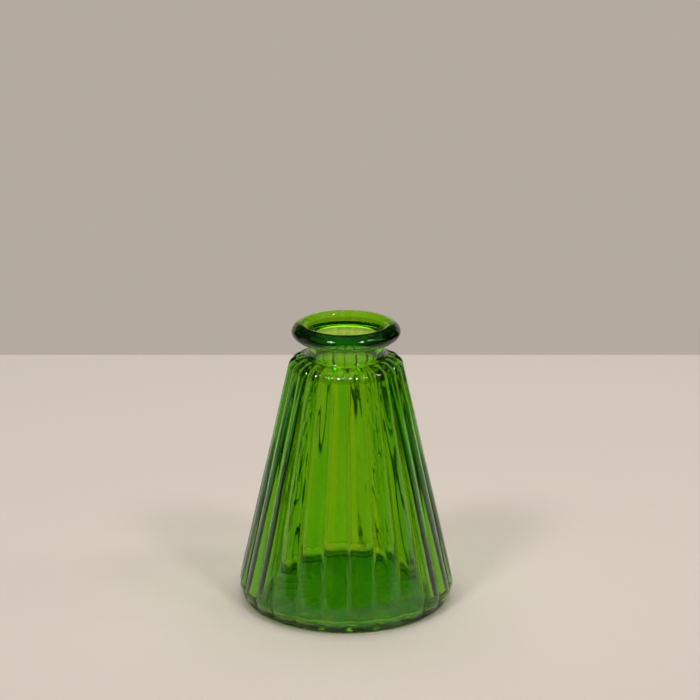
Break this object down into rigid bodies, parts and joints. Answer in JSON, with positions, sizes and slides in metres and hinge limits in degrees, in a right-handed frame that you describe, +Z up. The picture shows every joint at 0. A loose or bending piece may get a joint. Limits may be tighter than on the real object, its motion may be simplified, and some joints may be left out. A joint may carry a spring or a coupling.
{
  "type": "glass bud vase",
  "caption": "Moulded green glass bud vase: a ribbed cone with a rounded heel, a narrow shoulder, a short straight neck and a thick rolled rim.",
  "frame": {"origin": "centre of the circle that the vase rests on, at the bottom of its bounding box", "axes": "+Z up along the axis that the vase is turned about; the crest of a rib faces +X"},
  "size_m": [0.076, 0.076, 0.1],
  "materials": {
    "green_glass": "clear yellow-green moulded glass, polished by the flame, with faint ripples and one mould seam"
  },
  "bodies": {
    "root": {"glass_vase": "green_glass"}
  },
  "joints": []
}
